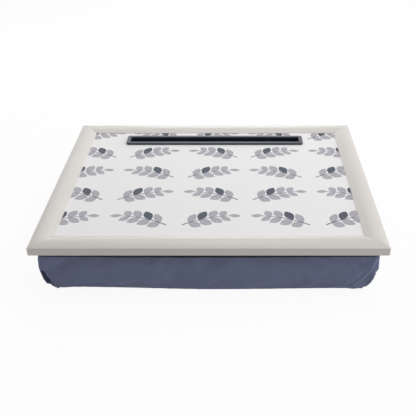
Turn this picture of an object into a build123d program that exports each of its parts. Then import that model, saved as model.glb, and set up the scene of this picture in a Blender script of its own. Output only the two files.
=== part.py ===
"""Lap tray with a bead cushion.

Four mitred mouldings frame a board with a printed face. A plastic channel near
the back edge holds a tablet on its edge. Hook and loop tapes join the tray to a
cloth cushion filled with beads, and the tray lifts off the cushion.

Millimetres. The origin is at the middle of the cushion's base, the front of the
tray faces -Y, and +Z is up.
"""
import math
import os

from build123d import *

os.makedirs("parts", exist_ok=True)

# Frame of the tray
frame_width = 440.0
frame_depth = 340.0

# Moulding of the rails: an upright outer face, an arch over the crown, a bevel and
# a steeper chamfer down to the lip over the board, and a rebate below
rail_width = 27.3
outer_face_height = 10.4
rebate_height = 9.5
lip_height = 0.4
chamfer_width = 2.7
chamfer_rise = 1.05
bevel_width = 6.1
bevel_rise = 1.85
bevel_top_radius = 6.0
arch_end_angle = 7.0
rebate_width = 6.0
arris_radius = 0.5

# V-nails across each mitre, driven from beneath
v_nail_leg = 6.0
v_nail_thickness = 0.5
v_nail_height = 7.0
outer_v_nail_setback = 7.0
inner_v_nail_setback = 14.5

# Board and its printed face
board_thickness = 5.0
sheet_thickness = 0.6
board_edge_clearance = 0.3

# Flat steel points that hold the board up in its rebate
board_point_length = 13.0
board_point_width = 6.0
board_point_thickness = 0.5
board_point_grip = 6.0
long_side_point_count = 4
short_side_point_count = 3

# Device slot: a moulded channel with a raised rim
slot_length = 266.5
slot_gap = 15.4
slot_rim_width = 5.9
slot_rim_height = 3.0
slot_rim_corner_radius = 4.0
slot_rim_edge_radius = 0.9
slot_mouth_radius = 0.5
slot_corner_radius = 1.5
slot_wall = 1.6
slot_floor = 1.6
slot_back_margin = 13.6
slot_fit_clearance = 0.2
slot_floor_lift = 0.6

# Barbs on the channel that hook under the board
barb_length = 12.0
barb_reach = 0.9
barb_height = 2.4
barb_clearance = 0.1
barb_count = 3

# Hook and loop tapes between the rails and the cushion
tape_width = 10.0
tape_thickness = 1.0
tape_rebate_margin = 0.5
tape_end_margin = 35.0
tape_gap = 0.2

# Staples through the hook tapes
staple_crown = 8.0
staple_wire = 0.6
staple_leg = 5.0
staple_sink = 0.2
staples_per_tape = 3
staple_end_margin = 20.0

# Cushion: widest at its waist, drawn in at the base and at the top rim
cushion_height = 61.2
cloth_thickness = 0.8
filling_clearance = 0.3
waist_inset = 4.5
base_tuck = 12.5
rim_tuck = 4.0
base_bow = 4.0
waist_bow = 2.4
rim_bow = 1.5
base_corner_radius = 26.0
waist_corner_radius = 12.0
rim_corner_radius = 10.0
base_flat_cut = 0.5

# Crown of the cushion's top, which rises into the frame below the board
top_crown_rise = 2.4
top_crown_margin = 2.5
top_crown_corner_radius = 30.0

# One overrun for all cuts
cut_overrun = 1.0

# Levels of the cushion's side from its lowest point to the waist: share of the
# cushion's height, share of the base tuck, and share of the way that the bow and
# the corners have gone from their size at the base to their size at the waist
lower_side_shares = (
    (0.0, 1.0, 0.0, 0.0),
    (0.035, 0.6, 0.0, 0.0),
    (0.13, 0.2, 0.3, 0.28),
    (0.33, 0.04, 0.62, 0.71),
    (0.59, 0.0, 1.0, 1.0),
)
# Levels from the waist to the top rim: share of the height, and share of the way
# from the waist to the rim
upper_side_shares = (
    (0.85, 0.4),
    (1.0, 1.0),
)
# Levels of the top crown: share of its rise and share of its plan size
top_crown_shares = (
    (0.0, 1.0),
    (0.3, 0.965),
    (0.6, 0.9),
    (0.85, 0.75),
    (1.0, 0.45),
)

# Heights of the stack, from the floor up
cushion_rim_z = cushion_height
loop_tape_z = cushion_rim_z
hook_tape_z = loop_tape_z + tape_thickness + tape_gap
frame_z = hook_tape_z + tape_thickness
sheet_top_z = frame_z + rebate_height
board_top_z = sheet_top_z - sheet_thickness
board_bottom_z = board_top_z - board_thickness
rim_top_z = sheet_top_z + slot_rim_height
slot_bottom_z = frame_z + slot_floor_lift

# Plan places that follow from the frame
half_width = frame_width / 2
half_depth = frame_depth / 2
rebate_setback = rail_width - rebate_width
tape_setback = rebate_setback - tape_rebate_margin - tape_width
rebate_half_width = half_width - rebate_setback
rebate_half_depth = half_depth - rebate_setback
slot_rim_length = slot_length + 2 * slot_rim_width
slot_rim_depth = slot_gap + 2 * slot_rim_width
channel_length = slot_length + 2 * slot_wall
channel_depth = slot_gap + 2 * slot_wall
slot_centre_y = half_depth - rail_width - slot_back_margin - slot_rim_depth / 2


def box_between(low, high):
    """Box from its lowest corner to its highest corner."""
    size = [top - bottom for bottom, top in zip(low, high)]
    middle = [(top + bottom) / 2 for bottom, top in zip(low, high)]
    return Pos(*middle) * Box(*size)


def spread(count, reach):
    """Evenly spaced places from -reach to +reach."""
    if count == 1:
        return [0.0]
    return [reach * (2 * step / (count - 1) - 1) for step in range(count)]


def rail_section():
    """Section of the moulding: x runs in from the outer edge, y runs up."""
    arris = (0.0, outer_face_height)
    lip = (rail_width, rebate_height + lip_height)
    chamfer_top = (lip[0] - chamfer_width, lip[1] + chamfer_rise)
    bevel_top = (chamfer_top[0] - bevel_width, chamfer_top[1] + bevel_rise)
    arch_end = Vector(-1, 0).rotate(Axis.Z, -arch_end_angle)
    arch = TangentArc([bevel_top, arris], tangent=arch_end)
    rest = Polyline(
        bevel_top,
        chamfer_top,
        lip,
        (rail_width, rebate_height),
        (rebate_setback, rebate_height),
        (rebate_setback, 0.0),
        (0.0, 0.0),
        arris,
    )
    face = make_face([arch, rest])
    for corner, radius in ((arris, arris_radius), (bevel_top, bevel_top_radius)):
        face = fillet(face.vertices().sort_by_distance(corner)[0], radius)
    return face


def straight_rail(length):
    """Mitred rail along X, its outer face in the plane Y = 0 and its foot at Z = 0."""
    moulding = extrude(Plane.YZ * rail_section(), length / 2, both=True)
    mitred_plan = Polyline(
        (-length / 2, 0.0),
        (length / 2, 0.0),
        (length / 2 - rail_width, rail_width),
        (rail_width - length / 2, rail_width),
        close=True,
    )
    return moulding & extrude(make_face(mitred_plan), moulding.bounding_box().max.Z)


def placed_rails():
    """The four rails, keyed by side."""
    long_rail = Pos(0, -half_depth, frame_z) * straight_rail(frame_width)
    short_rail = Pos(0, -half_width, frame_z) * straight_rail(frame_depth)
    return {
        "front": long_rail,
        "back": Rot(0, 0, 180) * long_rail,
        "right": Rot(0, 0, 90) * short_rail,
        "left": Rot(0, 0, -90) * short_rail,
    }


def corner_signs():
    return [(x_sign, y_sign) for x_sign in (-1, 1) for y_sign in (-1, 1)]


def v_nail(x_sign, y_sign, setback):
    """One V-nail with its point on the mitre and a leg in each rail."""
    point_x = half_width - setback
    point_y = half_depth - setback
    top_z = frame_z + v_nail_height
    legs = (
        ((point_x - v_nail_leg, point_y - v_nail_thickness, frame_z), (point_x, point_y, top_z)),
        ((point_x - v_nail_thickness, point_y - v_nail_leg, frame_z), (point_x, point_y, top_z)),
    )
    nail = Part()
    for low, high in legs:
        x_range = sorted((x_sign * low[0], x_sign * high[0]))
        y_range = sorted((y_sign * low[1], y_sign * high[1]))
        nail += box_between((x_range[0], y_range[0], low[2]), (x_range[1], y_range[1], high[2]))
    return nail


def v_nails():
    setbacks = (outer_v_nail_setback, inner_v_nail_setback)
    return [v_nail(x_sign, y_sign, setback) for x_sign, y_sign in corner_signs() for setback in setbacks]


def side_frames():
    """Turn, half length and distance from the middle, for each side of the tray."""
    return {
        "front": (0, half_width, half_depth),
        "right": (90, half_depth, half_width),
        "back": (180, half_width, half_depth),
        "left": (-90, half_depth, half_width),
    }


def board_points():
    """Flat points that reach out of the rebate's wall under the board."""
    points = []
    for side, (turn, half_length, middle_distance) in side_frames().items():
        is_long = side in ("front", "back")
        count = long_side_point_count if is_long else short_side_point_count
        reach = (half_length - rebate_setback) * (count - 1) / count
        wall_y = rebate_setback - middle_distance
        for place in spread(count, reach):
            point = box_between(
                (place - board_point_width / 2, wall_y - board_point_grip, board_bottom_z - board_point_thickness),
                (place + board_point_width / 2, wall_y - board_point_grip + board_point_length, board_bottom_z),
            )
            points.append(Rot(0, 0, turn) * point)
    return points


def slot_opening(low_z, high_z):
    """Cut-out for the channel, with its fit clearance."""
    length = channel_length + 2 * slot_fit_clearance
    depth = channel_depth + 2 * slot_fit_clearance
    corner = slot_corner_radius + slot_wall + slot_fit_clearance
    return Pos(0, slot_centre_y, low_z) * extrude(RectangleRounded(length, depth, corner), high_z - low_z)


def panel(low_z, thickness):
    """Flat panel that fills the rebate, with the slot's cut-out."""
    half_x = rebate_half_width - board_edge_clearance
    half_y = rebate_half_depth - board_edge_clearance
    sheet = box_between((-half_x, -half_y, low_z), (half_x, half_y, low_z + thickness))
    return sheet - slot_opening(low_z - cut_overrun, low_z + thickness + cut_overrun)


def barb(side_sign, place):
    """Wedge on the channel's long wall, its flat top just under the board."""
    top_z = board_bottom_z - barb_clearance
    wall_y = channel_depth / 2
    wedge = Polyline(
        (wall_y - slot_wall / 2, top_z),
        (wall_y + barb_reach, top_z),
        (wall_y, top_z - barb_height),
        (wall_y - slot_wall / 2, top_z - barb_height),
        close=True,
    )
    solid = extrude(Plane.YZ * make_face(wedge), barb_length / 2, both=True)
    turn = 0 if side_sign > 0 else 180
    return Pos(place, slot_centre_y, 0) * Rot(0, 0, turn) * solid


def slot_insert():
    """Channel with a floor, a raised rim round its mouth, and barbs below the board."""
    rim = extrude(RectangleRounded(slot_rim_length, slot_rim_depth, slot_rim_corner_radius), slot_rim_height)
    rim = fillet(rim.edges().group_by(Axis.Z)[-1], slot_rim_edge_radius)
    rim = Pos(0, slot_centre_y, sheet_top_z) * rim
    walls = RectangleRounded(channel_length, channel_depth, slot_corner_radius + slot_wall)
    channel = Pos(0, slot_centre_y, slot_bottom_z) * extrude(walls, sheet_top_z - slot_bottom_z)
    insert = rim + channel
    reach = (channel_length - barb_length) / 2 * (barb_count - 1) / barb_count
    for side_sign in (-1, 1):
        for place in spread(barb_count, reach):
            insert += barb(side_sign, place)
    mouth = RectangleRounded(slot_length, slot_gap, slot_corner_radius)
    hollow_z = slot_bottom_z + slot_floor
    insert -= Pos(0, slot_centre_y, hollow_z) * extrude(mouth, rim_top_z - hollow_z + cut_overrun)
    at_top = insert.edges().filter_by_position(Axis.Z, rim_top_z, rim_top_z)
    inside_y = slot_centre_y - slot_gap / 2
    mouth_edges = [
        edge for edge in at_top
        if abs(edge.center().X) <= slot_length / 2 and edge.center().Y >= inside_y - slot_mouth_radius
        and edge.center().Y <= inside_y + slot_gap + slot_mouth_radius
    ]
    return fillet(mouth_edges, slot_mouth_radius)


def tape(side, low_z):
    """Straight tape under one rail, or on the cushion opposite that rail."""
    turn, half_length, middle_distance = side_frames()[side]
    reach = half_length - tape_end_margin
    near_y = tape_setback - middle_distance
    strip = box_between((-reach, near_y, low_z), (reach, near_y + tape_width, low_z + tape_thickness))
    return Rot(0, 0, turn) * strip


def staple(place, centre_y):
    """Staple with its crown sunk in the hook tape and its legs up in the rail."""
    crown_z = hook_tape_z + staple_sink
    half_wire = staple_wire / 2
    half_crown = staple_crown / 2
    shape = box_between(
        (place - half_crown, centre_y - half_wire, crown_z),
        (place + half_crown, centre_y + half_wire, crown_z + staple_wire),
    )
    for leg_sign in (-1, 1):
        leg_x = place + leg_sign * (half_crown - half_wire)
        shape += box_between(
            (leg_x - half_wire, centre_y - half_wire, crown_z),
            (leg_x + half_wire, centre_y + half_wire, frame_z + staple_leg),
        )
    return shape


def tape_staples():
    """Staples through all four hook tapes."""
    staples = []
    for turn, half_length, middle_distance in side_frames().values():
        reach = half_length - tape_end_margin - staple_end_margin
        centre_y = tape_setback + tape_width / 2 - middle_distance
        for place in spread(staples_per_tape, reach):
            staples.append(Rot(0, 0, turn) * staple(place, centre_y))
    return staples


def bowed_outline(half_x, half_y, bow, corner):
    """Rectangle with round corners and sides that bow outwards."""
    straight_x = half_x - corner
    straight_y = half_y - corner
    middle = corner * math.cos(math.pi / 4)
    edges = [
        ThreePointArc((half_x, -straight_y), (half_x + bow, 0.0), (half_x, straight_y)),
        ThreePointArc((half_x, straight_y), (straight_x + middle, straight_y + middle), (straight_x, half_y)),
        ThreePointArc((straight_x, half_y), (0.0, half_y + bow), (-straight_x, half_y)),
        ThreePointArc((-straight_x, half_y), (-straight_x - middle, straight_y + middle), (-half_x, straight_y)),
        ThreePointArc((-half_x, straight_y), (-half_x - bow, 0.0), (-half_x, -straight_y)),
        ThreePointArc((-half_x, -straight_y), (-straight_x - middle, -straight_y - middle), (-straight_x, -half_y)),
        ThreePointArc((-straight_x, -half_y), (0.0, -half_y - bow), (straight_x, -half_y)),
        ThreePointArc((straight_x, -half_y), (straight_x + middle, -straight_y - middle), (half_x, -straight_y)),
    ]
    return make_face(edges)


def between(start, end, share):
    return start + (end - start) * share


def cushion_levels():
    """Height, inset from the frame's edge, bow and corner radius at each level."""
    drop = base_flat_cut
    levels = []
    for height_share, tuck_share, way_share, corner_share in lower_side_shares:
        levels.append((
            between(-drop, cushion_rim_z, height_share),
            waist_inset + base_tuck * tuck_share,
            between(base_bow, waist_bow, way_share),
            between(base_corner_radius, waist_corner_radius, corner_share),
        ))
    for height_share, way_share in upper_side_shares:
        levels.append((
            between(-drop, cushion_rim_z, height_share),
            waist_inset + rim_tuck * way_share,
            between(waist_bow, rim_bow, way_share),
            between(waist_corner_radius, rim_corner_radius, way_share),
        ))
    return levels


def cushion_form(shrink, low_z, high_z):
    """The cushion's swelling form, taken in by shrink and cut flat at both heights."""
    sections = []
    for level_z, inset, bow, corner in cushion_levels():
        half_x = half_width - inset - shrink
        half_y = half_depth - inset - shrink
        sections.append(Pos(0, 0, level_z) * bowed_outline(half_x, half_y, bow, corner - shrink))
    slab = box_between((-half_width, -half_depth, low_z), (half_width, half_depth, high_z))
    return loft(sections) & slab


def top_crown_form(low_z):
    """Low mound of the cushion's top, inside the rails."""
    length = 2 * (rebate_half_width - top_crown_margin)
    depth = 2 * (rebate_half_depth - top_crown_margin)
    sections = []
    for rise_share, size_share in top_crown_shares:
        outline = RectangleRounded(length * size_share, depth * size_share, top_crown_corner_radius * size_share)
        sections.append(Pos(0, 0, low_z + top_crown_rise * rise_share) * outline)
    return loft(sections, ruled=True)


def cushion_cover():
    """Walls and base of the cover, open at the top where the top cloth is sewn on."""
    cloth_z = cushion_rim_z - cloth_thickness
    outer = cushion_form(0, 0, cloth_z)
    inner = cushion_form(cloth_thickness, cloth_thickness, cloth_z)
    return outer - inner


def cushion_top_cloth():
    """Top cloth with its crown."""
    cloth_z = cushion_rim_z - cloth_thickness
    flat = cushion_form(0, cloth_z, cushion_rim_z)
    return flat + top_crown_form(cushion_rim_z) - top_crown_form(cloth_z)


def bead_filling():
    """The beads as one swelling body that fills the cover."""
    gap = cloth_thickness + filling_clearance
    top_z = cushion_rim_z - gap
    return cushion_form(gap, gap, top_z) + top_crown_form(top_z)


def as_group(solids):
    """Separate solids that share one node."""
    flat_list = []
    for shape in solids:
        flat_list.extend(shape.solids())
    return Compound(children=flat_list)


def write(shape, name):
    export_step(shape, "parts/" + name + ".step")
    print(name, "solids", len(shape.solids()), "volume", round(shape.volume))


nails = v_nails()
points = board_points()
staples = tape_staples()

for side, rail in placed_rails().items():
    for fastener in nails + points + staples:
        if rail.bounding_box().overlaps(fastener.bounding_box()):
            rail -= fastener
    write(rail, side + "_rail")

for side in side_frames():
    hook_tape = tape(side, hook_tape_z)
    for fastener in staples:
        if hook_tape.bounding_box().overlaps(fastener.bounding_box()):
            hook_tape -= fastener
    write(hook_tape, "hook_tape_" + side)
    write(tape(side, loop_tape_z), "loop_tape_" + side)

write(as_group(nails), "corner_v_nails")
write(as_group(points), "board_points")
write(as_group(staples), "tape_staples")
write(panel(board_bottom_z, board_thickness), "tray_board")
write(panel(board_top_z, sheet_thickness), "printed_sheet")
write(slot_insert(), "slot_insert")
write(cushion_cover(), "cushion_cover")
write(cushion_top_cloth(), "cushion_top_cloth")
write(bead_filling(), "bead_filling")
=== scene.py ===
# %% [markdown]
# # A lap tray on a bead cushion
# The object is a framed board that stands on a cloth cushion. Four painted mouldings are mitred
# round a printed board, a plastic channel near the back holds a tablet, and a slate-blue cushion
# filled with beads carries it all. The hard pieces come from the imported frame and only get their
# finishes here. The cushion and its tapes are cloth, so they are built and simulated in this file.

# %% Load the frame
import math
from itertools import product

import bpy
import numpy as np
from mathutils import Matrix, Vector


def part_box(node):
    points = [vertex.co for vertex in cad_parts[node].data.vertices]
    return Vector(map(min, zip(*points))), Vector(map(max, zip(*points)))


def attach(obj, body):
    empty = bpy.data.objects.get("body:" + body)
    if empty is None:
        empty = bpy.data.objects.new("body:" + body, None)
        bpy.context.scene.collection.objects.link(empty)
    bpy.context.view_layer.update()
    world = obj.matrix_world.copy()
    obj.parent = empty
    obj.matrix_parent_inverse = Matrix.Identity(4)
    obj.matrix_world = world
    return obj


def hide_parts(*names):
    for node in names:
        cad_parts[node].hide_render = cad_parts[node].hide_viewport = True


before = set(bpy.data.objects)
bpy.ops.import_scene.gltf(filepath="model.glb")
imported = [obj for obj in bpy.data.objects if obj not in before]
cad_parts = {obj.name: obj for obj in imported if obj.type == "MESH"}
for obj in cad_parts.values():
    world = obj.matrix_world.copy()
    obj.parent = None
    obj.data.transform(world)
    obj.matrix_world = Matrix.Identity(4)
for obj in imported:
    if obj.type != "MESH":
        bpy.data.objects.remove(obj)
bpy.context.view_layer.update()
mm = 0.001
print("nodes in the frame:", len(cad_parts))

# %% [markdown]
# ## Sizes read from the frame
# Everything that sits on a hard piece takes its place from that piece's box, so the looks follow
# the construction when it changes. The cushion's own sizes are named further down, because cloth
# has no edges that a box could give.

# %% Sizes from the frame
sides = ("front", "back", "left", "right")
square = ((-1, -1), (1, -1), (1, 1), (-1, 1))
frame_half_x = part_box("front_rail")[1].x
frame_half_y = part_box("back_rail")[1].y
sheet_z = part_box("printed_sheet")[1].z
rim_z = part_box("loop_tape_front")[0].z
print("frame", round(2 * frame_half_x / mm), "by", round(2 * frame_half_y / mm), "mm")
print("cushion rim at", round(rim_z / mm, 1), "mm")

# %% [markdown]
# ## The camera
# The photograph was taken from in front and above with a short telephoto lens. Its vertical lines
# are a little off the middle of the picture, so the camera looks straight ahead and its frame is
# shifted sideways instead of turned. The focal length is known in pixels of the 416 pixel picture,
# and Blender wants it in millimetres on a 36 mm wide sensor.

# %% The camera
picture_width_px = 416.0
focal_px = 618.7
middle_line_px = 233.9
sensor_width_mm = 36.0
camera_pitch = math.radians(33.26)
camera_aside = 30.5 * mm
camera_ahead_of_frame = 597.1 * mm
camera_above_sheet = 451.2 * mm

scene = bpy.context.scene
camera_data = bpy.data.cameras.new("photo_camera")
camera_data.sensor_width = sensor_width_mm
camera_data.lens = focal_px * sensor_width_mm / picture_width_px
camera_data.shift_x = (picture_width_px / 2 - middle_line_px) / picture_width_px
camera = bpy.data.objects.new("photo_camera", camera_data)
camera.location = (camera_aside, -frame_half_y - camera_ahead_of_frame, sheet_z + camera_above_sheet)
camera.rotation_euler = (math.pi / 2 - camera_pitch, 0, 0)
scene.collection.objects.link(camera)
scene.camera = camera
print("lens", round(camera_data.lens, 2), "mm, shift", round(camera_data.shift_x, 4))

# %% [markdown]
# ## Helpers for node materials
# Every finish here is made of shader nodes. Formulas made of nodes are hard to read, so a small
# class gives a socket the signs of arithmetic: each plus or minus adds one Math node, and a
# socket knows the tree it is in. The other helpers add a node, fill its sockets or start a finish.

# %% Values that can be reckoned with


class Value:
    """A shader value. Each step of arithmetic on it adds a Math node to its tree."""

    def __init__(self, socket):
        self.socket = socket
        self.tree = socket.id_data

    def step(self, operation, *others):
        """A new value from this one and the others."""
        inputs = dict(enumerate((self, *others)))
        return Value(add_node(self.tree, "Math", inputs, operation=operation).outputs[0])

    def __add__(self, other):
        return self.step("ADD", other)

    def __sub__(self, other):
        return self.step("SUBTRACT", other)

    def __rsub__(self, number):
        return self.step("MULTIPLY_ADD", -1.0, number)

    def __mul__(self, other):
        return self.step("MULTIPLY", other)

    def __truediv__(self, other):
        return self.step("DIVIDE", other)

    def __abs__(self):
        return self.step("ABSOLUTE")


def plug(socket, value):
    """Link a socket to another, or set its value. A colour may be written without its alpha."""
    if isinstance(value, Value):
        value = value.socket
    if isinstance(value, bpy.types.NodeSocket):
        socket.id_data.links.new(value, socket)
    else:
        socket.default_value = (*value, 1.0) if socket.type == "RGBA" and len(value) == 3 else value


def fill(node, inputs):
    """Link or set sockets of a node by their name or number."""
    for key, value in inputs.items():
        plug(node.inputs[key], value)


def add_node(tree, kind, inputs=None, **settings):
    """A shader node with its settings, and its inputs linked or set."""
    node = tree.nodes.new("ShaderNode" + kind)
    for name, value in settings.items():
        setattr(node, name, value)
    fill(node, inputs or {})
    return node


print("arithmetic ready")

# %% Helpers for finishes


def mix_colour(factor, first, second):
    """A mix of two colours, each written as red, green, blue or a value."""
    node = add_node(factor.tree, "Mix", {0: factor, 6: first, 7: second}, data_type="RGBA")
    return Value(node.outputs[2])


def pick(condition, first, second):
    """The first value where the condition is 0 and the second where it is 1."""
    return Value(add_node(condition.tree, "Mix", {0: condition, 2: first, 3: second}).outputs[0])


def axes_of(vector):
    """The three coordinates of a vector."""
    return [Value(part) for part in add_node(vector.tree, "SeparateXYZ", {0: vector}).outputs]


def noise(where, scale, detail=2.0, stretch=None):
    """Soft noise from 0 to 1, its scale in lumps per metre, drawn out where stretch says so."""
    if stretch:
        where = add_node(where.tree, "VectorMath", {0: where, 1: stretch}, operation="MULTIPLY")
        where = Value(where.outputs[0])
    inputs = {"Vector": where, "Scale": scale, "Detail": detail}
    return Value(add_node(where.tree, "TexNoise", inputs).outputs["Fac"])


def spread(value, low, high, new_low, new_high):
    """Stretch a value's range and clamp it."""
    inputs = {"Value": value, "From Min": low, "From Max": high, "To Min": new_low, "To Max": new_high}
    return Value(add_node(value.tree, "MapRange", inputs).outputs[0])


def start_finish(name):
    """A new material, its main shader and its object coordinates in metres."""
    material = bpy.data.materials.new(name)
    material.use_nodes = True
    where = add_node(material.node_tree, "TexCoord").outputs["Object"]
    return material, material.node_tree.nodes["Principled BSDF"], Value(where)


def new_object(name, points, faces):
    """A new object in the scene from points and faces."""
    mesh = bpy.data.meshes.new(name)
    mesh.from_pydata([tuple(p) for p in points], [], faces)
    piece = bpy.data.objects.new(name, mesh)
    scene.collection.objects.link(piece)
    return piece


def relief(shader, height, depth):
    """Bump the surface by a height from 0 to 1 that stands for depth in metres."""
    bump = add_node(shader.id_data, "Bump", {"Height": height, "Distance": depth})
    plug(shader.inputs["Normal"], bump.outputs[0])


def give(material, *names):
    """Put a material on every slot of nodes that come from the frame."""
    for piece in (bpy.data.objects[name] for name in names):
        if not piece.material_slots:
            piece.data.materials.append(material)
        for slot in piece.material_slots:
            slot.material = material


print("helpers ready")

# %% [markdown]
# ## Background
# The picture is a cut-out on white. A white world, seen by the camera and in reflections, gives
# that background. A weaker one lights the object: it is the even fill of a white studio, and
# leaves the front faces in half shade.

# %% World
fill_strength = 0.35
scene.view_settings.view_transform = "Standard"
world = bpy.data.worlds.new("studio")
world.use_nodes = True
scene.world = world
sky = world.node_tree
sky.nodes.clear()


def seen_by_rays(tree):
    """1 for camera, glossy and transmission rays and 0 for the rest."""
    rays = add_node(tree, "LightPath").outputs
    seen = Value(rays["Is Camera Ray"]).step("MAXIMUM", rays["Is Glossy Ray"])
    return seen.step("MAXIMUM", rays["Is Transmission Ray"])


sky_strength = spread(seen_by_rays(sky), 0.0, 1.0, fill_strength, 1.0)
backdrop = add_node(sky, "Background", {"Color": (1, 1, 1, 1), "Strength": sky_strength})
add_node(sky, "OutputWorld", {"Surface": backdrop.outputs[0]})
print("fill", fill_strength)

# %% [markdown]
# ## Lamps
# The shading of the rails says where the lamps stood. Each rail is an arch, so it shows how the
# light changes with the tilt of a surface: the side that faces right is the brightest and the side
# that faces left the darkest, and slopes that face away from the viewer are brighter than flat ones.
# So a strong, wide softbox stands low on the right, with a weaker one above it, and three soft ones
# stand behind: low, high and to the left.

# %% Lamps
tray_middle = Vector((0, 0, 0.05))


def soft_lamp(name, width, depth, power, place):
    """A rectangular lamp at place that shines on the tray."""
    data = bpy.data.lights.new(name, "AREA")
    data.shape = "RECTANGLE"
    data.size = width
    data.size_y = depth
    data.energy = power
    lamp = bpy.data.objects.new(name, data)
    lamp.location = place
    lamp.rotation_euler = (tray_middle - Vector(place)).to_track_quat("-Z", "Y").to_euler()
    scene.collection.objects.link(lamp)


soft_lamp("right_softbox", 2.4, 0.8, 22.5, (1.95, 0, 0.46))
soft_lamp("right_top_softbox", 0.8, 0.8, 10.5, (1.0, 0, 1.78))
soft_lamp("back_left_softbox", 0.5, 0.5, 1.5, (-0.56, 0.84, 0.62))
soft_lamp("back_top_softbox", 0.8, 0.8, 6.6, (0, 1.0, 1.78))
soft_lamp("back_low_softbox", 0.8, 0.8, 4.4, (0, 1.95, 0.46))
print("lamps:", len(bpy.data.lights))

# %% [markdown]
# ## Floor
# The floor glows for the camera alone, almost up to white, so that the object's shadow stays on it
# as a pale one. To the lamps it is a light grey that sends some light back up.

# %% Floor
floor_half = 6.0
floor_bounce = (0.84, 0.84, 0.84)
floor_seen = (0.97, 0.97, 0.97)
floor_glow_share = 0.93
floor = new_object("floor", [(x * floor_half, y * floor_half, 0) for x, y in square], [(0, 1, 2, 3)])

floor_finish, shader, _ = start_finish("studio_floor")
tree = floor_finish.node_tree
seen = seen_by_rays(tree)
fill(shader, {"Base Color": mix_colour(seen, floor_bounce, floor_seen), "Roughness": 0.95,
              "Specular IOR Level": 0.0})
glow = add_node(tree, "Emission", {"Color": (1, 1, 1, 1), "Strength": 1.0})
mixed = add_node(tree, "MixShader", {0: seen * floor_glow_share, 1: shader.outputs[0], 2: glow.outputs[0]})
plug(tree.nodes["Material Output"].inputs["Surface"], mixed.outputs[0])
floor.data.materials.append(floor_finish)
print("floor", 2 * floor_half, "m wide")

# %% [markdown]
# ## Painted rails
# The frame is a wooden moulding with a sprayed off-white paint. Paint isn't flat: it has a fine
# orange-peel skin, very slight cloudiness, and a hairline at each mitre where two rails meet. The
# shapes come from the frame, so only the material is made. The mitre line lies where the distance
# from the two outer sides is the same, which two subtractions in object coordinates find.

# %% Painted rails
paint_colour = (0.668, 0.635, 0.603)
paint_shade = (0.625, 0.589, 0.556)
mitre_colour = (0.42, 0.39, 0.36)
mitre_line_width = 0.16 * mm

painted_finish, shader, where = start_finish("off_white_paint")
along_x, along_y, _ = axes_of(where)
off_mitre = abs((frame_half_x - abs(along_x)) - (frame_half_y - abs(along_y)))
mitre = spread(off_mitre, mitre_line_width, 3 * mitre_line_width, 1.0, 0.0)
clouds = spread(noise(where, 28.0, 3.0), 0.35, 0.65, 0.0, 1.0)
skin = noise(where, 900.0, 2.0)
paint = mix_colour(clouds * 0.35, paint_colour, paint_shade)
fill(shader, {"Base Color": mix_colour(mitre * 0.55, paint, mitre_colour),
              "Roughness": spread(skin, 0.3, 0.7, 0.34, 0.44)})
relief(shader, skin - mitre * 3.0, 0.018 * mm)
give(painted_finish, *(side + "_rail" for side in sides))
print("rails painted", paint_colour)

# %% [markdown]
# ## Steel, board and plastic
# Corner nails, glazing points and staples are zinc-plated steel. The board is medium density
# fibreboard, which shows only from below as a tan felt of fine fibres. The tablet channel is
# moulded from near-black plastic with a fine spark-eroded grain.

# %% Steel fixings
steel_finish, shader, where = start_finish("plated_steel")
streaks = noise(where, 700.0, 3.0, stretch=(1.0, 1.0, 0.15))
fill(shader, {"Base Color": mix_colour(streaks, (0.52, 0.51, 0.49), (0.68, 0.68, 0.66)),
              "Metallic": 1.0, "Roughness": spread(streaks, 0.3, 0.7, 0.28, 0.46)})
relief(shader, streaks, 0.02 * mm)
give(steel_finish, "corner_v_nails", "board_points", "tape_staples")
print("steel on the fixings")

# %% Fibreboard
board_finish, shader, where = start_finish("fibreboard")
fibres = noise(where, 1500.0, 4.0, stretch=(1.0, 0.25, 1.0))
flecks = spread(noise(where, 420.0, 2.0), 0.6, 0.72, 0.0, 1.0)
tan = mix_colour(fibres, (0.36, 0.255, 0.16), (0.50, 0.38, 0.26))
fill(shader, {"Base Color": mix_colour(flecks * 0.5, tan, (0.24, 0.16, 0.10)), "Roughness": 0.82})
relief(shader, fibres, 0.06 * mm)
give(board_finish, "tray_board")
print("board finished")

# %% Tablet channel
plastic_finish, shader, where = start_finish("black_plastic")
grain = noise(where, 2600.0, 2.0)
rubbed = spread(noise(where, 60.0, 3.0), 0.45, 0.75, 0.0, 1.0)
fill(shader, {"Base Color": mix_colour(rubbed, (0.018, 0.022, 0.036), (0.026, 0.031, 0.048)),
              "Roughness": spread(grain, 0.3, 0.7, 0.30, 0.42)})
relief(shader, grain, 0.015 * mm)
give(plastic_finish, "slot_insert")
print("channel finished")

# %% [markdown]
# ## The printed face
# The tray's face is a white melamine sheet with a two-colour print. The print here is a plain
# repeat of leafy sprigs in a light grey and a slate ink. It is drawn with arithmetic on object
# coordinates instead of a picture: the sheet is cut into cells, each cell gets its own small
# coordinates in millimetres, and a sprig is a bent line with leaves, turned over in every other
# cell for a livelier repeat.

# %% Print helpers
cell_width = 92.0
cell_depth = 60.0
sprig_tilt = math.radians(16.0)
ink_edge = 0.22


def inside(edge_distance):
    """Ink where a distance in millimetres is above zero, with a soft edge."""
    return spread(edge_distance, -ink_edge, ink_edge, 0.0, 1.0)


def turned(across, up, angle):
    """Two coordinates turned by an angle."""
    cosine, sine = math.cos(angle), math.sin(angle)
    return across * cosine + up * sine, up * cosine - across * sine


def leaf(across, up, base_across, base_up, length, half_width, angle):
    """A leaf from its base point, as the space between two parabolas, and its midrib."""
    along, off = turned(across - base_across, up - base_up, angle)
    share = (along - length / 2) / (length / 2)
    off = abs(off)
    body = inside((1.0 - share * share) * half_width - off)
    return body, spread(off, 0.15, 0.45, 1.0, 0.0) * body


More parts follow.
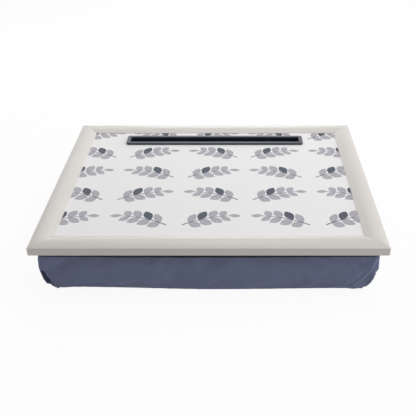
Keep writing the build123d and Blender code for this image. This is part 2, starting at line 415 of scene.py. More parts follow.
print_finish, shader, where = start_finish("printed_melamine")
along_x, along_y, _ = axes_of(where)
column = (along_x + 0.5 * cell_width * mm) / (cell_width * mm)
row = (along_y + 0.25 * cell_depth * mm) / (cell_depth * mm)
odd = (column.step("FLOOR") + row.step("FLOOR")).step("PINGPONG", 1.0)
flip = odd.step("MULTIPLY_ADD", -2.0, 1.0)
across = (column.step("FRACT") - 0.5) * cell_width
up = (row.step("FRACT") - 0.5) * cell_depth
across, up = turned(across * flip, up, sprig_tilt)
print("print cells", cell_width, "by", cell_depth, "mm")

# %% [markdown]
# The stem is a shallow parabola. Heights are then measured from the stem and made positive, so
# one leaf drawn above the stem appears below it as well, and a sign tells the two apart where one
# of a pair is to be printed in the darker ink.

# %% The sprig
stem_bend = 0.0042
stem_height = 3.0
stem_start, stem_end = -38.0, 26.0
leaf_pairs = ((-29.0, 19.5, 5.8), (-15.0, 20.5, 6.2), (0.0, 19.0, 5.7), (14.0, 15.5, 4.8))
leaf_angle = math.radians(47.0)
leaf_gap = 0.6
dark_pair = 1

off_stem = up + across * across * stem_bend - stem_height
beside = abs(off_stem)
above = off_stem.step("GREATER_THAN", 0.0)
taper = spread(across, stem_start, stem_end, 0.95, 0.45)
on_stem = across.step("GREATER_THAN", stem_start) * across.step("LESS_THAN", stem_end)
dark_ink = inside(taper - beside) * on_stem
light_ink, _ = leaf(across, beside, stem_end - 1.0, 0.0, 15.0, 3.9, 0.0)
ribs = 0.0
for number, (place, length, half_width) in enumerate(leaf_pairs):
    body, rib = leaf(across, beside, place, leaf_gap, length, half_width, leaf_angle)
    light_ink = light_ink.step("MAXIMUM", body)
    ribs = rib.step("MAXIMUM", ribs)
    if number == dark_pair:
        dark_ink = dark_ink.step("MAXIMUM", body * above)
print("leaves on a sprig:", 2 * len(leaf_pairs) + 1)

# %% [markdown]
# The inks lie under a thin clear layer. It is satin, and its gloss is set below that of plain
# plastic, so that the print still reads from the side where the low lamp is mirrored in it.

# %% Inks on the melamine
ground_colour = (0.884, 0.876, 0.874)
ground_haze = (0.868, 0.862, 0.864)
light_ink_colour = (0.405, 0.394, 0.440)
dark_ink_colour = (0.066, 0.078, 0.110)
rib_lightening = 0.30

screen = spread(noise(where, 1400.0, 1.0), 0.3, 0.7, 0.94, 1.0)
ground = mix_colour(noise(where, 9.0, 2.0) * 0.5, ground_colour, ground_haze)
light_ink = light_ink * ribs.step("MULTIPLY_ADD", -rib_lightening, 1.0)
printed = mix_colour(light_ink * screen, ground, light_ink_colour)
printed = mix_colour(dark_ink * screen, printed, dark_ink_colour)
pebble = noise(where, 1100.0, 2.0)
fill(shader, {"Base Color": printed, "Roughness": spread(pebble, 0.3, 0.7, 0.54, 0.64),
              "Specular IOR Level": 0.25})
relief(shader, pebble, 0.012 * mm)
give(print_finish, "printed_sheet")
print("printed sheet finished with", len(shader.id_data.nodes), "nodes")

# %% [markdown]
# ## The cushion's plan and profile
# The cushion is a sewn bag of slate-blue poplin, filled with small foam beads. It is as wide as
# the frame lets it, a little drawn in at its rim, and rolls under at the base. At each lower corner
# the upright seam stops halfway down, and a three-cornered dart closes the bag below it. A crease
# only looks sewn where an edge of the mesh runs along it, so each level of the side is a ring of
# four-sided faces whose first few points next to a corner always span the dart.

# %% Cushion sizes
cushion_half_x = 213.2 * mm
cushion_half_y = 164.6 * mm
waist_z = 36.0 * mm
base_tuck_x = 2.6 * mm
base_tuck_y = 12.0 * mm
rim_tuck = 1.2 * mm
rim_flattening = 1.2 * mm
rim_roll = np.array([2.4, 3.9]) * mm
rim_roll_z = 54.0 * mm
right_tuck = 4.6 * mm
front_wave = np.array([(-213, 0), (-199, 1.4), (-190, -0.5), (-157, -1.0), (-126, -1.0), (-95, -0.6),
                       (-64, 0.1), (-33, 1.1), (0, 1.6), (60, 1.4), (120, 1.2), (160, 1.6), (178, 2.2),
                       (187, 3.2), (195, 2.2), (208, 0.8)]) * mm
side_bow = 3.0 * mm
base_bow = 4.0 * mm
upright_corner = 6.0 * mm
dart_leg_x = 15.0 * mm
dart_leg_y = 14.0 * mm
dart_bulge = 3.0 * mm
corner_zone = 46.0 * mm
dart_steps = 6
zone_steps = 13
middle_step = 7.0 * mm
body_top_z = rim_z - 0.6 * mm
side_heights = np.array([60.5, 60.1, 59.3, 57.6, 55.2, 52.6, 50.0, 47.4, 44.8, 42.2, 39.6, 37.2, 34.8,
                         32.2, 29.6, 27.0, 24.4, 21.8, 19.2, 16.6, 14.0, 11.6, 9.4, 7.4, 5.6, 4.0, 2.6,
                         1.5, 0.7, 0.2, 0.0]) * mm
print("side rings:", len(side_heights))

# %% [markdown]
# A ring starts at the middle of the front left corner and goes round. Above the dart's tip a corner
# is an arc. Below it the dart's three points span a flat that the beads puff out, and the dart's
# legs grow longer towards the floor.

# %% One level of the side


def side_stations(half_length):
    """Stations from a corner's middle on as (part, share), and shares of the side's middle."""
    count = max(2, round(2 * (half_length - corner_zone) / middle_step))
    corner = [("dart", i / dart_steps) for i in range(dart_steps)]
    corner += [("zone", i / zone_steps) for i in range(zone_steps)]
    return corner, [i / count for i in range(count)]


def level_shape(z):
    """Insets along x and y, bow and the dart's legs along x and y of the ring at a height."""
    down = max(0.0, 1.0 - z / waist_z)
    up = max(0.0, (z - waist_z) / (body_top_z - waist_z))
    rolled = max(0.0, (z - rim_roll_z) / (body_top_z - rim_roll_z))
    insets = np.array([base_tuck_x * down**2.2, base_tuck_y * down**6.5]) + rim_tuck * up**1.6
    insets += rim_roll * (1.0 - math.sqrt(1.0 - min(1.0, rolled) ** 2))
    bow = side_bow + (base_bow - side_bow) * down - rim_flattening * up
    opening = np.array([1.0 - (1.0 - down) ** 1.8, down])
    legs = upright_corner + (np.array([dart_leg_x, dart_leg_y]) - upright_corner) * opening
    return insets, bow, legs, down


def corner_point(legs, share, down):
    """Distances from both sides of a corner, from the dart's middle (share 0) to its crease (1)."""
    chamfer = np.array([legs[0] / 2 * (1 + share), legs[1] / 2 * (1 - share)])
    angle = math.radians(45.0 + 45.0 * share)
    arc = np.array([legs[0] * (1 - math.cos(angle)), legs[1] * (1 - math.sin(angle))])
    flat = min(1.0, down * 6.0)
    outwards = -np.array([legs[1], legs[0]]) / np.hypot(*legs)
    puff = dart_bulge * (1.0 - share**2) * down**0.5
    return arc * (1 - flat) + (chamfer + outwards * puff) * flat


def ring(z, extra_inset=0.0):
    """Points of one level, counter-clockwise from the front left corner's middle."""
    insets, bow, legs, down = level_shape(z)
    half = np.array([cushion_half_x, cushion_half_y]) - insets - extra_inset
    points = []
    for turn in range(4):
        order = -1 if turn % 2 else 1
        (along_half, out_half), near_legs = half[::order], legs[::order]
        corner, middle = side_stations(cushion_half_y if turn % 2 else cushion_half_x)
        start = [corner_point(near_legs, share, down) if part == "dart"
                 else (near_legs[0] + (corner_zone - near_legs[0]) * share, 0.0) for part, share in corner]
        inner = 2 * (along_half - corner_zone)
        side = [(-along_half + along, inward) for along, inward in start]
        side += [(-along_half + corner_zone + inner * share, 0.0) for share in middle]
        side += [(along_half - along, inward) for along, inward in [(corner_zone, 0.0)] + start[:0:-1]]
        for along, inward in side:
            swell = bow * (1.0 - (along / along_half) ** 2)
            x, y = along, -(out_half - inward + swell)
            for _ in range(turn):
                x, y = -y, x
            if turn == 0:
                y -= float(np.interp(x, *front_wave.T)) * down**3
            if x > 0:
                x -= right_tuck * x / cushion_half_x * (0.25 + 0.75 * down**1.3)
            points.append((x, y, z))
    return np.array(points)


ring_count = len(ring(body_top_z))
print("points in a ring:", ring_count)

# %% [markdown]
# The top and the base are filled with a grid whose border is a ring. Each inner point is blended
# from the four border points in its row and column, which is called a Coons patch. It keeps all
# faces four-sided, as cloth and subdivision like best.

# %% Fill a ring with a grid
across_count = 2 * (dart_steps + zone_steps) + len(side_stations(cushion_half_x)[1])
deep_count = 2 * (dart_steps + zone_steps) + len(side_stations(cushion_half_y)[1])
corner_at = np.cumsum([0, across_count, deep_count, across_count, deep_count]).tolist()
ring_index = np.zeros((across_count + 1, deep_count + 1), dtype=int)
ring_index[:, 0] = np.arange(across_count + 1)
ring_index[-1] = corner_at[1] + np.arange(deep_count + 1)
ring_index[::-1, -1] = corner_at[2] + np.arange(across_count + 1)
ring_index[0, ::-1] = (corner_at[3] + np.arange(deep_count + 1)) % ring_count


def coons_patch(border):
    """Grid of points whose border is the ring."""
    grid = border[ring_index]
    front, back, left, right = grid[:, :1], grid[:, -1:], grid[:1], grid[-1:]
    u = (front[..., :1] - front[0, 0, 0]) / (front[-1, 0, 0] - front[0, 0, 0])
    v = (left[..., 1:2] - left[0, 0, 1]) / (left[0, -1, 1] - left[0, 0, 1])
    edges = front * (1 - v) + back * v + left * (1 - u) + right * u
    corners = (grid[0, 0] * (1 - u) * (1 - v) + grid[-1, 0] * u * (1 - v)
               + grid[0, -1] * (1 - u) * v + grid[-1, -1] * u * v)
    grid[1:-1, 1:-1] = (edges - corners)[1:-1, 1:-1]
    return grid


print("grid", across_count, "by", deep_count)

# %% [markdown]
# Rings, top and base become one closed mesh, with a low crown on top inside the rails.

# %% Put the bag together
crown_rise = 2.3 * mm
crown_half_x = 194.0 * mm
crown_half_y = 144.0 * mm
crown_slope = 34.0 * mm
top_inset = 2.6 * mm


def crown_height(x, y):
    """Rise of the cushion's top above its flat rim."""
    rise = crown_rise
    for place, half in ((x, crown_half_x), (y, crown_half_y)):
        share = min(1.0, max(0.0, (half - abs(place)) / crown_slope))
        rise *= math.sin(share * math.pi / 2) ** 1.4
    return rise


rings = [ring(body_top_z, top_inset)] + [ring(z) for z in side_heights]
points = [tuple(p) for level in rings for p in level]
faces = []
for upper in range(0, ring_count * (len(rings) - 1), ring_count):
    lower = upper + ring_count
    for i in range(ring_count):
        after = (i + 1) % ring_count
        faces.append((upper + i, lower + i, lower + after, upper + after))


def add_grid(border_level, height, upwards):
    """Close a ring with the inner points of its grid."""
    grid = coons_patch(rings[border_level])
    index = border_level * ring_count + ring_index
    inner = index[1:-1, 1:-1]
    inner[:] = len(points) + np.arange(inner.size).reshape(inner.shape)
    points.extend((x, y, z + height(x, y)) for x, y, z in grid[1:-1, 1:-1].reshape(-1, 3))
    for row, next_row in zip(index.tolist(), index[1:].tolist()):
        for j in range(deep_count):
            face = (row[j], next_row[j], next_row[j + 1], row[j + 1])
            faces.append(face if upwards else face[::-1])


add_grid(0, crown_height, True)
add_grid(len(rings) - 1, lambda x, y: 0.0, False)
bag = new_object("bead_cushion", points, faces)
print("bag of", len(points), "points and", len(faces), "faces")

# %% [markdown]
# Seams and folds are placed on the finer mesh later on, so every point is told now where it is:
# its corner, its run along the ring from that corner's seam and from the dart's crease, and its
# height. Mesh attributes carry the numbers through the subdivision.

# %% Seam distances
far_away = 400.0
seam_distance = np.full(len(points), far_away, dtype=np.float32)
crease_distance = np.full(len(points), far_away, dtype=np.float32)
corner_number = np.zeros(len(points), dtype=np.float32)
for level, places in enumerate(rings):
    steps = np.linalg.norm(np.roll(places, -1, axis=0) - places, axis=1)
    run = np.concatenate([[0.0], np.cumsum(steps)])
    for number, (first, last) in enumerate(zip(corner_at, corner_at[1:])):
        first_dart, last_dart = run[first + dart_steps] - run[first], run[last] - run[last - dart_steps]
        ahead, behind = run[first:last] - run[first], run[last] - run[first:last]
        near_first = ahead <= behind
        part = slice(level * ring_count + first, level * ring_count + last)
        seam_distance[part] = np.where(near_first, ahead, -behind) / mm
        crease_distance[part] = (np.minimum(ahead, behind) - np.where(near_first, first_dart, last_dart)) / mm
        corner_number[part] = np.where(near_first, number, (number + 1) % 4)
start_height = np.array([p[2] / mm for p in points], dtype=np.float32)
for name, values in (("seam_distance", seam_distance), ("corner_number", corner_number),
                     ("crease_distance", crease_distance), ("start_height", start_height)):
    bag.data.attributes.new(name, "FLOAT", "POINT").data.foreach_set("value", values)
print("distances stored for", len(points), "points")

# %% [markdown]
# ## Cloth simulation
# A sewn bag under pressure takes a form that is hard to draw by hand: the panels swell between the
# seams and pull small hollows beside them. Blender's Cloth does that. The bag is blown up from
# inside with gravity off, the rim under the tapes and the base on the floor are held, and the
# cloth is a little larger than the form, so that it can ripple. No point may move more than a few
# millimetres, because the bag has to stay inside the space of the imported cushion.

# %% Blow up the bag
cloth_frames = 20
cloth_settings = {"quality": 5, "mass": 0.25, "tension_stiffness": 18.0, "compression_stiffness": 12.0,
                  "shear_stiffness": 6.0, "bending_stiffness": 0.4, "use_pressure": True,
                  "vertex_group_mass": "held", "pin_stiffness": 4.0}
most_movement = 2.6 * mm


def positions(mesh):
    """The mesh's points as rows of an array."""
    flat = np.empty(3 * len(mesh.vertices), dtype=np.float64)
    mesh.vertices.foreach_get("co", flat)
    return flat.reshape(-1, 3)


def settle(piece, held_weights, pressure, slack, most):
    """Simulate a closed bag, limit how far its points move, and keep the result in its mesh."""
    before = positions(piece.data)
    group = piece.vertex_groups.new(name="held")
    for weight in np.unique(held_weights):
        if weight > 0:
            group.add(np.flatnonzero(held_weights == weight).tolist(), float(weight), "REPLACE")
    cloth = piece.modifiers.new("cloth", "CLOTH")
    for name, value in {**cloth_settings, "uniform_pressure_force": pressure, "shrink_min": -slack}.items():
        setattr(cloth.settings, name, value)
    cloth.settings.effector_weights.gravity = 0.0
    cloth.point_cache.frame_start = 1
    cloth.point_cache.frame_end = cloth_frames
    for number in range(1, cloth_frames + 1):
        scene.frame_set(number)
    settled = positions(piece.evaluated_get(bpy.context.evaluated_depsgraph_get()).data)
    piece.modifiers.remove(cloth)
    piece.vertex_groups.remove(group)
    scene.frame_set(1)
    moved = settled - before
    length = np.linalg.norm(moved, axis=1, keepdims=True)
    moved *= np.minimum(1.0, most / np.maximum(length, 1e-9))
    piece.data.vertices.foreach_set("co", (before + moved).ravel())
    piece.data.update()
    return length.ravel()


place = positions(bag.data)
held = np.zeros(len(place))
outside_crown = (np.abs(place[:, 0]) > crown_half_x) | (np.abs(place[:, 1]) > crown_half_y)
on_top = place[:, 2] > body_top_z - 0.2 * mm
held[on_top] = 0.85
held[on_top & outside_crown] = 1.0
held[place[:, 2] < 1.2 * mm] = 1.0
travel = settle(bag, held, 2.2, 0.012, most_movement)
print("points moved up to", round(float(travel.max()) / mm, 1), "mm before the limit")

# %% [markdown]
# ## A finer bag with seams, folds and puckers
# One level of subdivision makes the mesh fine enough for the marks that sewing leaves. They are
# pressed in along its normals in three steps: seams and gathers, then folds that run out of the
# corners, and broad shallow swellings where beads push against the cloth.

# %% Subdivide the bag
smoother = bag.modifiers.new("smoother", "SUBSURF")
smoother.levels = 1
fine_mesh = bpy.data.meshes.new_from_object(bag.evaluated_get(bpy.context.evaluated_depsgraph_get()))
bag.modifiers.clear()
bag.data = fine_mesh
fine_mesh.name = "bead_cushion"


def point_values(mesh, name):
    """A stored number for each point."""
    values = np.empty(len(mesh.vertices), dtype=np.float32)
    mesh.attributes[name].data.foreach_get("value", values)
    return values.astype(np.float64)


seam_run = point_values(fine_mesh, "seam_distance")
corner_of = np.rint(point_values(fine_mesh, "corner_number"))
from_crease = point_values(fine_mesh, "crease_distance")
level_of = point_values(fine_mesh, "start_height")
print("fine bag of", len(fine_mesh.polygons), "faces")

# %% [markdown]
# The upright seam stands up as a ridge between two hollows. A closed dart's flat is drawn in beside
# its crease like a pocket. The dart at the front left is open instead: its cloth is pushed back as
# a deep pleat, whose mouth begins at the crease in front. The pleat dies out near the floor.

# %% Seams and gathers
pleat_depth = 12.0
pocket_depth = 2.5
pleat_crease_shift = 2.4
on_side = (np.abs(seam_run) < 390.0) & (level_of > 0.3) & (level_of < 60.45)


def unit(values):
    """Values held between 0 and 1."""
    return np.clip(values, 0.0, 1.0)


def ridge(offset, width):
    """A rounded ridge across an offset."""
    return np.exp(-((offset / width) ** 2))


down_share = unit(1.0 - level_of / (waist_z / mm))
low = unit(down_share * 6.0)
high = 1.0 - low
push = 0.55 * high * ridge(seam_run, 1.5)
push -= 0.30 * high * (ridge(seam_run - 3.4, 1.5) + ridge(seam_run + 3.4, 1.5))
pleated = corner_of == 0
off_crease = from_crease - np.where(pleated & (seam_run > 0), pleat_crease_shift, 0.0)
push += np.where(pleated, 1.2, 0.6) * low * ridge(off_crease, 1.3)
push -= 0.35 * low * ridge(off_crease - 3.4, 1.8)
pocket = pocket_depth * ~pleated * unit(down_share * 3.0) * ridge(from_crease + 3.6, 2.1)
half_dart = np.maximum(np.abs(seam_run) - from_crease, 1.0)
across_dart = (half_dart - seam_run) / (2.0 * half_dart)
mouth = unit((across_dart + 0.11) / 0.12) * unit((0.70 - across_dart) / 0.2)
pleat_reach = unit(down_share * 4.0) * unit((level_of - 1.5) / 8.0)
pleat = pleat_depth * pleated * on_side * mouth * pleat_reach
gather = np.sin(level_of * 1.15 + 1.3 * np.sin(level_of * 0.31 + corner_of * 2.1) + corner_of)
push += 0.28 * gather * high * ridge(np.abs(seam_run) - 3.5, 3.0)
push += 0.34 * gather * low * ridge(from_crease - 2.5, 3.2)
push += 0.22 * np.sin(level_of * 0.9 + 2.0 * corner_of) * low * ridge(from_crease + 4.0, 3.0)
print("pleat", round(float(pleat.max()), 1), "mm deep, seam ridges up to", round(float(push.max()), 2), "mm")

# %% [markdown]
# A fold is a ridge with a hollow beside it, along a line on one panel. Those at the front corners
# follow the photograph. The corners that it doesn't show get folds of the same kind from a seeded
# draw, so every run gives the same ones.

# %% Folds at the corners


def fold(corner, direction, start, end, width, depth):
    """A fold on one panel beside a corner, from start to end as (run from the seam, height)."""
    across_run = seam_run * direction
    first, last = np.array(start, dtype=float), np.array(end, dtype=float)
    line = last - first
    length = np.hypot(*line)
    line /= length
    sideways, upwards = across_run - first[0], level_of - first[1]
    along, off = sideways * line[0] + upwards * line[1], upwards * line[0] - sideways * line[1]
    share = unit(along / length)
    beyond = along - share * length
    strength = np.sin(np.pi * (0.08 + 0.84 * share)) * np.exp(-((beyond / (1.5 * width)) ** 2))
    shape = ridge(off, width) - 0.75 * ridge(off + 1.7 * width, 1.1 * width)
    return depth * strength * shape * ((corner_of == corner) & (across_run > -1.0))


front_left, front_right, back_right, back_left = range(4)
for start, end, width, depth in (((3, 56), (16, 50), 2.4, 1.1), ((4, 50), (20, 35), 3.0, 1.0),
                                 ((13, 36), (30, 14), 2.6, 0.6), ((24, 10), (70, 4), 3.0, 0.5)):
    push += fold(front_left, 1, start, end, width, depth)
for start, end, width, depth in (((3, 57), (12, 38), 2.2, 1.2), ((8, 40), (27, 12), 2.4, 1.0),
                                 ((14, 44), (38, 18), 3.2, 0.7), ((24, 26), (46, 6), 2.6, 0.7),
                                 ((30, 8), (80, 5), 3.0, 0.5)):
    push += fold(front_right, -1, start, end, width, depth)
spare_folds = np.random.default_rng(7)
for corner, direction in ((front_left, -1), (front_right, 1), (back_right, -1), (back_right, 1),
                          (back_left, -1), (back_left, 1)):
    for number in range(4):
        top = 56 - 13 * number + spare_folds.uniform(-3, 3)
        run = 3 + 5 * number + spare_folds.uniform(0, 3)
        reach = spare_folds.uniform(14, 34)
        drop = spare_folds.uniform(8, 22)
        depth = spare_folds.uniform(0.5, 1.1)
        push += fold(corner, direction, (run, top), (run + reach, max(4.0, top - drop)), 2.6, depth)
print("folds pressed, deepest", round(float(push.min()), 2), "mm")

# %% [markdown]
# Last come the broad swellings, as slow waves of four lengths with drawn phases. Everything fades
# out at the rim and at the floor, where the bag has to stay flat. The pleat is pushed straight
# back and not along the normals, because those turn sideways in a corner.

# %% Swellings and the finished surface
swell_draw = np.random.default_rng(11)
swell_start = unit((np.abs(seam_run) - 6.0) / 30.0)
for wavelength, size in ((170.0, 0.45), (95.0, 0.32), (58.0, 0.22), (36.0, 0.13)):
    for _ in range(3):
        phase, lean = swell_draw.uniform(0, 2 * math.pi), swell_draw.uniform(-1.2, 1.2)
        wave = np.sin(2 * math.pi * (np.abs(seam_run) + lean * level_of) / wavelength + phase
                      + 1.7 * corner_of + 0.9 * np.sign(seam_run))
        push += size * 0.6 * wave * swell_start
fade = unit((level_of - 1.0) / 7.0) * unit((60.4 - level_of) / 3.0)
push *= fade * on_side
push -= pocket * unit((level_of - 0.5) / 4.0) * on_side
normals = np.empty(3 * len(fine_mesh.vertices), dtype=np.float32)
fine_mesh.vertex_normals.foreach_get("vector", normals)
surface = positions(fine_mesh) + (push * mm)[:, None] * normals.reshape(-1, 3)
surface[:, 1] += pleat * mm
surface[:, 2] = np.maximum(surface[:, 2], 0.0)
fine_mesh.vertices.foreach_set("co", surface.ravel())
fine_mesh.shade_smooth()
fine_mesh.update()
print("bag reaches", np.round(np.abs(surface).max(axis=0) / mm, 1), "mm")

# %% [markdown]
# ## Cloth finish
# The cover is a plain-woven cotton blend: threads cross over and under each other about every
# half millimetre, some threads are thicker than others, and the colour wanders a little along
# each thread. The weave is worked out from object coordinates, seen from the side that the
# surface faces, so it needs no unwrapping. Sheen gives the soft bloom of short fibres.

# %% Woven cloth
thread_pitch = 0.55 * mm


def facing_coordinates(where):
    """Two coordinates along the surface, taken from the axes that the surface doesn't face."""
    x, y, z = axes_of(where)
    normal = Value(add_node(where.tree, "NewGeometry").outputs["Normal"])
    turned_x, turned_y, turned_z = [abs(part) for part in axes_of(normal)]
    faces_up = turned_z.step("GREATER_THAN", 0.75)
    faces_side = turned_x.step("GREATER_THAN", turned_y)
    return pick(faces_up, pick(faces_side, x, y), x), pick(faces_up, z, y)


def woven_cloth(name, colour, shade, bloom):
    """Plain weave in one colour, with slubs, uneven dye, painted shade between the threads and a soft sheen.
    """
    material, shader, where = start_finish(name)
    across, up = facing_coordinates(where)
    weft, warp = [(part * (math.pi / thread_pitch)).step("SINE") for part in (across, up)]
    over = (weft * warp).step("MULTIPLY_ADD", 0.5, 0.5)
    along = Value(add_node(where.tree, "CombineXYZ", {0: across, 1: up}).outputs[0])
    slubs = noise(along, 1.0, 2.0, stretch=(60.0, 1500.0, 1.0))
    ends = noise(along, 1.0, 2.0, stretch=(1500.0, 45.0, 1.0))
    threads = (slubs + ends) * 0.5
    tone = threads * 0.7 + noise(where, 34.0, 3.0) * 0.3
    tint = mix_colour(spread(tone, 0.36, 0.64, 0.0, 1.0), shade, colour)
    # Where the weave dips, the colour is darkened to 0.55 of the shade: painted shade in the hollows between
    # threads.
    thread_gap_shade = spread(over, 0.0, 0.35, 0.25, 0.0)
    fill(shader, {"Base Color": mix_colour(thread_gap_shade, tint, tuple(0.55 * c for c in shade)),
                  "Roughness": spread(threads, 0.35, 0.65, 0.78, 0.9), "Sheen Weight": bloom,
                  "Sheen Roughness": 0.45, "Sheen Tint": (0.72, 0.78, 0.95)})
    relief(shader, over * 0.7 + threads * 0.9, 0.10 * mm)
    return material


cover_finish = woven_cloth("slate_blue_poplin", (0.164, 0.192, 0.306), (0.136, 0.159, 0.256), 0.12)
fine_mesh.materials.append(cover_finish)
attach(bag, "cushion")
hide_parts("cushion_cover", "bead_filling")
print("cushion covered")

# %% A helper for new pieces


def link_mesh(name, corners, quads, material, body, smooth=True):
    """An object from corners and faces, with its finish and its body."""
    piece = new_object(name, corners, quads)
    if smooth:
        piece.data.shade_smooth()
    piece.data.materials.append(material)
    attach(piece, body)
    return piece


print("piece helper ready")

# %% [markdown]
# ## Top cloth
# A second cloth closes the bag under the tray. It is cut to the rim and sewn down around its edge.
# It is made from the top faces of the bag: they are copied, lifted by half a thread and given the
# cloth's thickness, so that it follows every hollow of the bag below it.

# %% Top cloth
top_thickness = 0.6 * mm
surface = positions(fine_mesh)
top_faces = [tuple(p.vertices) for p in fine_mesh.polygons
             if level_of[list(p.vertices)].min() > body_top_z / mm - 0.02]
used = sorted({v for face in top_faces for v in face})
renumbered = {old: new for new, old in enumerate(used)}
top_points = surface[used]
top_points[:, 2] = np.maximum(top_points[:, 2], body_top_z - 0.15 * mm)
top_faces = [[renumbered[v] for v in face] for face in top_faces]
top_finish = woven_cloth("top_cloth_weave", (0.150, 0.178, 0.262), (0.118, 0.140, 0.210), 0.10)
cushion_top = link_mesh("cushion_top", top_points, top_faces, top_finish, "cushion")
thicken = cushion_top.modifiers.new("cloth_thickness", "SOLIDIFY")
thicken.thickness = top_thickness
thicken.offset = 1.0
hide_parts("cushion_top_cloth")
print("top cloth of", len(top_faces), "faces")

# %% [markdown]
# ## Rim welt with painted shade
# Cover and top cloth meet in a seam round the rim. A tube that follows the rim stands for its welt,
# a little flattened, and gathered by a slow ripple so that it doesn't look extruded. The tube is
# coloured near-black as painted shade: it makes the dark line of shadow under the front rail.

# %% Rim welt
welt_radius = 1.6 * mm
welt_z = 57.9 * mm
welt_around = 8


def level_tube(path, radius, around):
    """Corners and faces of a tube round a closed path of points that lies level."""
    run = np.roll(path, -1, axis=0) - np.roll(path, 1, axis=0)
    run /= np.linalg.norm(run, axis=1, keepdims=True)
    corners, quads = [], []
    for number, (middle, outwards) in enumerate(zip(path, np.cross(run, (0.0, 0.0, 1.0)))):
        swell = radius * (1.0 + 0.12 * math.sin(number * 1.9) + 0.08 * math.sin(number * 0.53))
        for angle in (2 * math.pi * place / around for place in range(around)):
            rise = np.array((0, 0, 0.8 * swell * math.sin(angle)))
            corners.append(middle + outwards * swell * math.cos(angle) + rise)
        a, b = number * around, (number + 1) % len(path) * around
        quads += [(a + s, a + (s + 1) % around, b + (s + 1) % around, b + s) for s in range(around)]
    return corners, quads


corners, quads = level_tube(ring(welt_z), welt_radius, welt_around)
# The welt's near-black weave is painted shade, the dark line of shadow under the front rail, not a colour of
# the cloth.
rim_shade_finish = woven_cloth("rim_painted_shade", (0.024, 0.028, 0.046), (0.017, 0.020, 0.033), 0.02)
link_mesh("rim_welt_painted_shade", corners, quads, rim_shade_finish, "cushion")
print("welt faces", len(quads))

# %% [markdown]
# ## Hook and loop tapes
# Four loop tapes are sewn to the rim of the cushion, and four hook tapes are stapled under the
# rails above them. Both are modelled, because the tray lifts off and shows them. Each is a closed
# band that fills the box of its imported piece, so a few helpers serve both.

# %% Tape helpers
tape_end = 4 * mm


def tape_box(name):
    """Both corners of a tape's box, whether it runs along x, its length and its width."""
    low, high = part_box(name)
    size_x, size_y = high.x - low.x, high.y - low.y
    return low, high, size_x > size_y, max(size_x, size_y), min(size_x, size_y)


def on_tape(box, along, across, z):
    """A point at a run along a tape and across it."""
    low, _, lengthwise, _, _ = box
    return (low.x + along, low.y + across, z) if lengthwise else (low.x + across, low.y + along, z)


def tape_grid(box, step, height_at):
    """A closed band in a tape's box: a grid whose free face has its own heights."""
    low, _, lengthwise, length, width = box
    along_count, wide_count = round(length / step), max(6, round(width / step))
    corners, quads = [], []
    row = wide_count + 1
    layer_size = (along_count + 1) * row
    for layer, (i, j) in product((0, 1), product(range(along_count + 1), range(row))):
        along, across = length * i / along_count, width * j / wide_count
        x, y = (along, across) if lengthwise else (width - across, along)
        rim = min(i, along_count - i, j, wide_count - j)
        corners.append((low.x + x, low.y + y, height_at(layer, rim)))
    for a in (i * row + j for i in range(along_count) for j in range(wide_count)):
        bottom = (a, a + 1, a + row + 1, a + row)
        quads += [bottom, tuple(layer_size + v for v in bottom[::-1])]
    border = list(range(wide_count)) + [i * row + wide_count for i in range(along_count)]
    border += [along_count * row + j for j in range(wide_count, 0, -1)]
    border += [i * row for i in range(along_count, 0, -1)]
    for first, second in zip(border, border[1:] + border[:1]):
        quads.append((first, layer_size + first, layer_size + second, second))
    return corners, quads


def add_stack(corners, quads, levels):
    """Join levels of points, each with as many points, and close the last one."""
    start, count = len(corners), len(levels[0])
    for level in levels:
        corners.extend(level)
    last = start + count * (len(levels) - 1)
    for a in range(start, last, count):
        b = a + count
        quads.extend((a + k, b + k, b + (k + 1) % count, a + (k + 1) % count) for k in range(count))
    quads.append(tuple(range(last + count - 1, last - 1, -1)))


print("tape helpers ready")

# %% [markdown]
# A loop tape has a napped pile. Its top is a grid of one millimetre whose inner points get a height
# from a seeded draw.

# %% Loop strips
pile_draw = np.random.default_rng(3)
pile_rise = 0.42 * mm
loop_finish, shader, where = start_finish("loop_pile")
nap = noise(where, 1900.0, 3.0)
fill(shader, {"Base Color": mix_colour(nap, (0.018, 0.019, 0.024), (0.045, 0.047, 0.056)),
              "Roughness": 0.95, "Sheen Weight": 0.25, "Sheen Roughness": 0.4})
relief(shader, nap, 0.25 * mm)

for side in sides:
    box = tape_box("loop_tape_" + side)
    low, high = box[:2]
    band_top = high.z - pile_rise
    corners, quads = tape_grid(box, 1.0 * mm, lambda layer, rim: (
        low.z if layer == 0 else band_top + (0.0 if rim < 1 else pile_rise * pile_draw.uniform(0.35, 1.0))))
    strip = link_mesh("loop_strip_" + side, corners, quads, loop_finish, "cushion")
    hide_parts("loop_tape_" + side)
    print(strip.name, "has", len(quads), "faces")

# %% [markdown]
# A hook tape is a thin band with rows of tiny bent hooks of nylon. Each hook is a square post of
# four levels that leans over at its tip, and neighbours lean to opposite sides.

# %% Hook strips
band_thickness = 0.40 * mm
hook_pitch = 1.9 * mm
hook_rows = 4
hook_start = 2.5 * mm
hook_half = 0.16 * mm
hook_lean = 0.55 * mm
hook_root = 0.05 * mm
hook_finish, shader, where = start_finish("hook_nylon")
streak = noise(where, 1200.0, 2.0)
fill(shader, {"Base Color": mix_colour(streak, (0.022, 0.023, 0.027), (0.040, 0.042, 0.048)),
              "Roughness": spread(streak, 0.3, 0.7, 0.38, 0.55)})
relief(shader, streak, 0.05 * mm)


def add_hook(corners, quads, root, bend, length):
    """One hook, whose root is its middle on the band."""
    levels = []
    for lean, drop, size in ((0.0, 0.0, 1.0), (0.0, 0.7, 0.8), (0.55, 1.0, 0.7), (1.0, 0.78, 0.4)):
        middle = np.array(root) + np.array(bend) * lean * hook_lean - np.array((0, 0, drop * length))
        levels.append([tuple(middle + np.array((*corner, 0.0)) * hook_half * size) for corner in square])
    add_stack(corners, quads, levels)


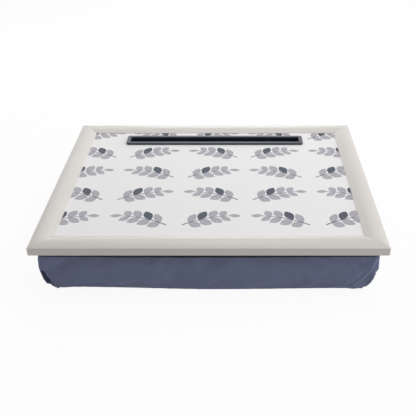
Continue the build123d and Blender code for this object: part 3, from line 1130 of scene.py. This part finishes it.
for side in sides:
    box = tape_box("hook_tape_" + side)
    low, high, lengthwise, length, width = box
    band_low = high.z - band_thickness
    corners, quads = tape_grid(box, 5.0 * mm, lambda layer, rim: band_low if layer == 0 else high.z)
    for i, j in product(range(int((length - tape_end) / hook_pitch)), range(hook_rows)):
        along = hook_start + i * hook_pitch + (hook_pitch / 2 if j % 2 else 0.0)
        across = width * (j + 0.8) / (hook_rows + 0.6)
        lean = 1.0 if (i + j) % 2 else -1.0
        bend = (lean, 0.0, 0.0) if lengthwise else (0.0, lean, 0.0)
        root = on_tape(box, along, across, band_low + hook_root)
        add_hook(corners, quads, root, bend, band_low - low.z)
    strip = link_mesh("hook_strip_" + side, corners, quads, hook_finish, "tray", smooth=False)
    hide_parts("hook_tape_" + side)
    print(strip.name, "has", len(quads), "faces")

# %% [markdown]
# ## Stitching
# The loop tapes are sewn with two rows of lockstitch in dark thread. Each stitch is a small
# spindle that dips into the tape at both ends, so the rows read as sewing and not as a line.

# %% Stitches on the loop tapes
stitch_pitch = 3.4 * mm
stitch_length = 2.7 * mm
stitch_start = 3.4 * mm
thread_radius = 0.24 * mm
stitch_inset = 1.1 * mm
stitch_rings = ((-0.5, 0.25, -0.9), (-0.28, 0.95, 0.3), (0.28, 0.95, 0.3), (0.5, 0.25, -0.9))
corners, quads = [], []


def add_stitch(middle, lengthwise):
    """One stitch, a spindle of six sides."""
    start, levels = len(corners), []
    for along, size, lift in stitch_rings:
        level, step = [], along * stitch_length
        for angle in (math.pi / 3 * place for place in range(6)):
            off, up = thread_radius * size * math.cos(angle), thread_radius * (size * math.sin(angle) + lift)
            x, y = (step, off) if lengthwise else (-off, step)
            level.append((middle[0] + x, middle[1] + y, middle[2] + up))
        levels.append(level)
    add_stack(corners, quads, levels)
    quads.append(tuple(range(start, start + 6)))


for side in sides:
    box = tape_box("loop_tape_" + side)
    _, high, lengthwise, length, width = box
    stitch_z = high.z - thread_radius * 1.25
    stitch_count = int((length - tape_end) / stitch_pitch)
    for across, number in product((stitch_inset, width - stitch_inset), range(stitch_count)):
        add_stitch(on_tape(box, stitch_start + number * stitch_pitch, across, stitch_z), lengthwise)
thread_finish, shader, where = start_finish("dark_thread")
ply = noise(where, 2400.0, 2.0)
fill(shader, {"Base Color": mix_colour(ply, (0.06, 0.07, 0.10), (0.12, 0.14, 0.20)), "Roughness": 0.7})
relief(shader, ply, 0.08 * mm)
link_mesh("tape_stitching", corners, quads, thread_finish, "cushion")
print("stitches", len(quads) // 20)
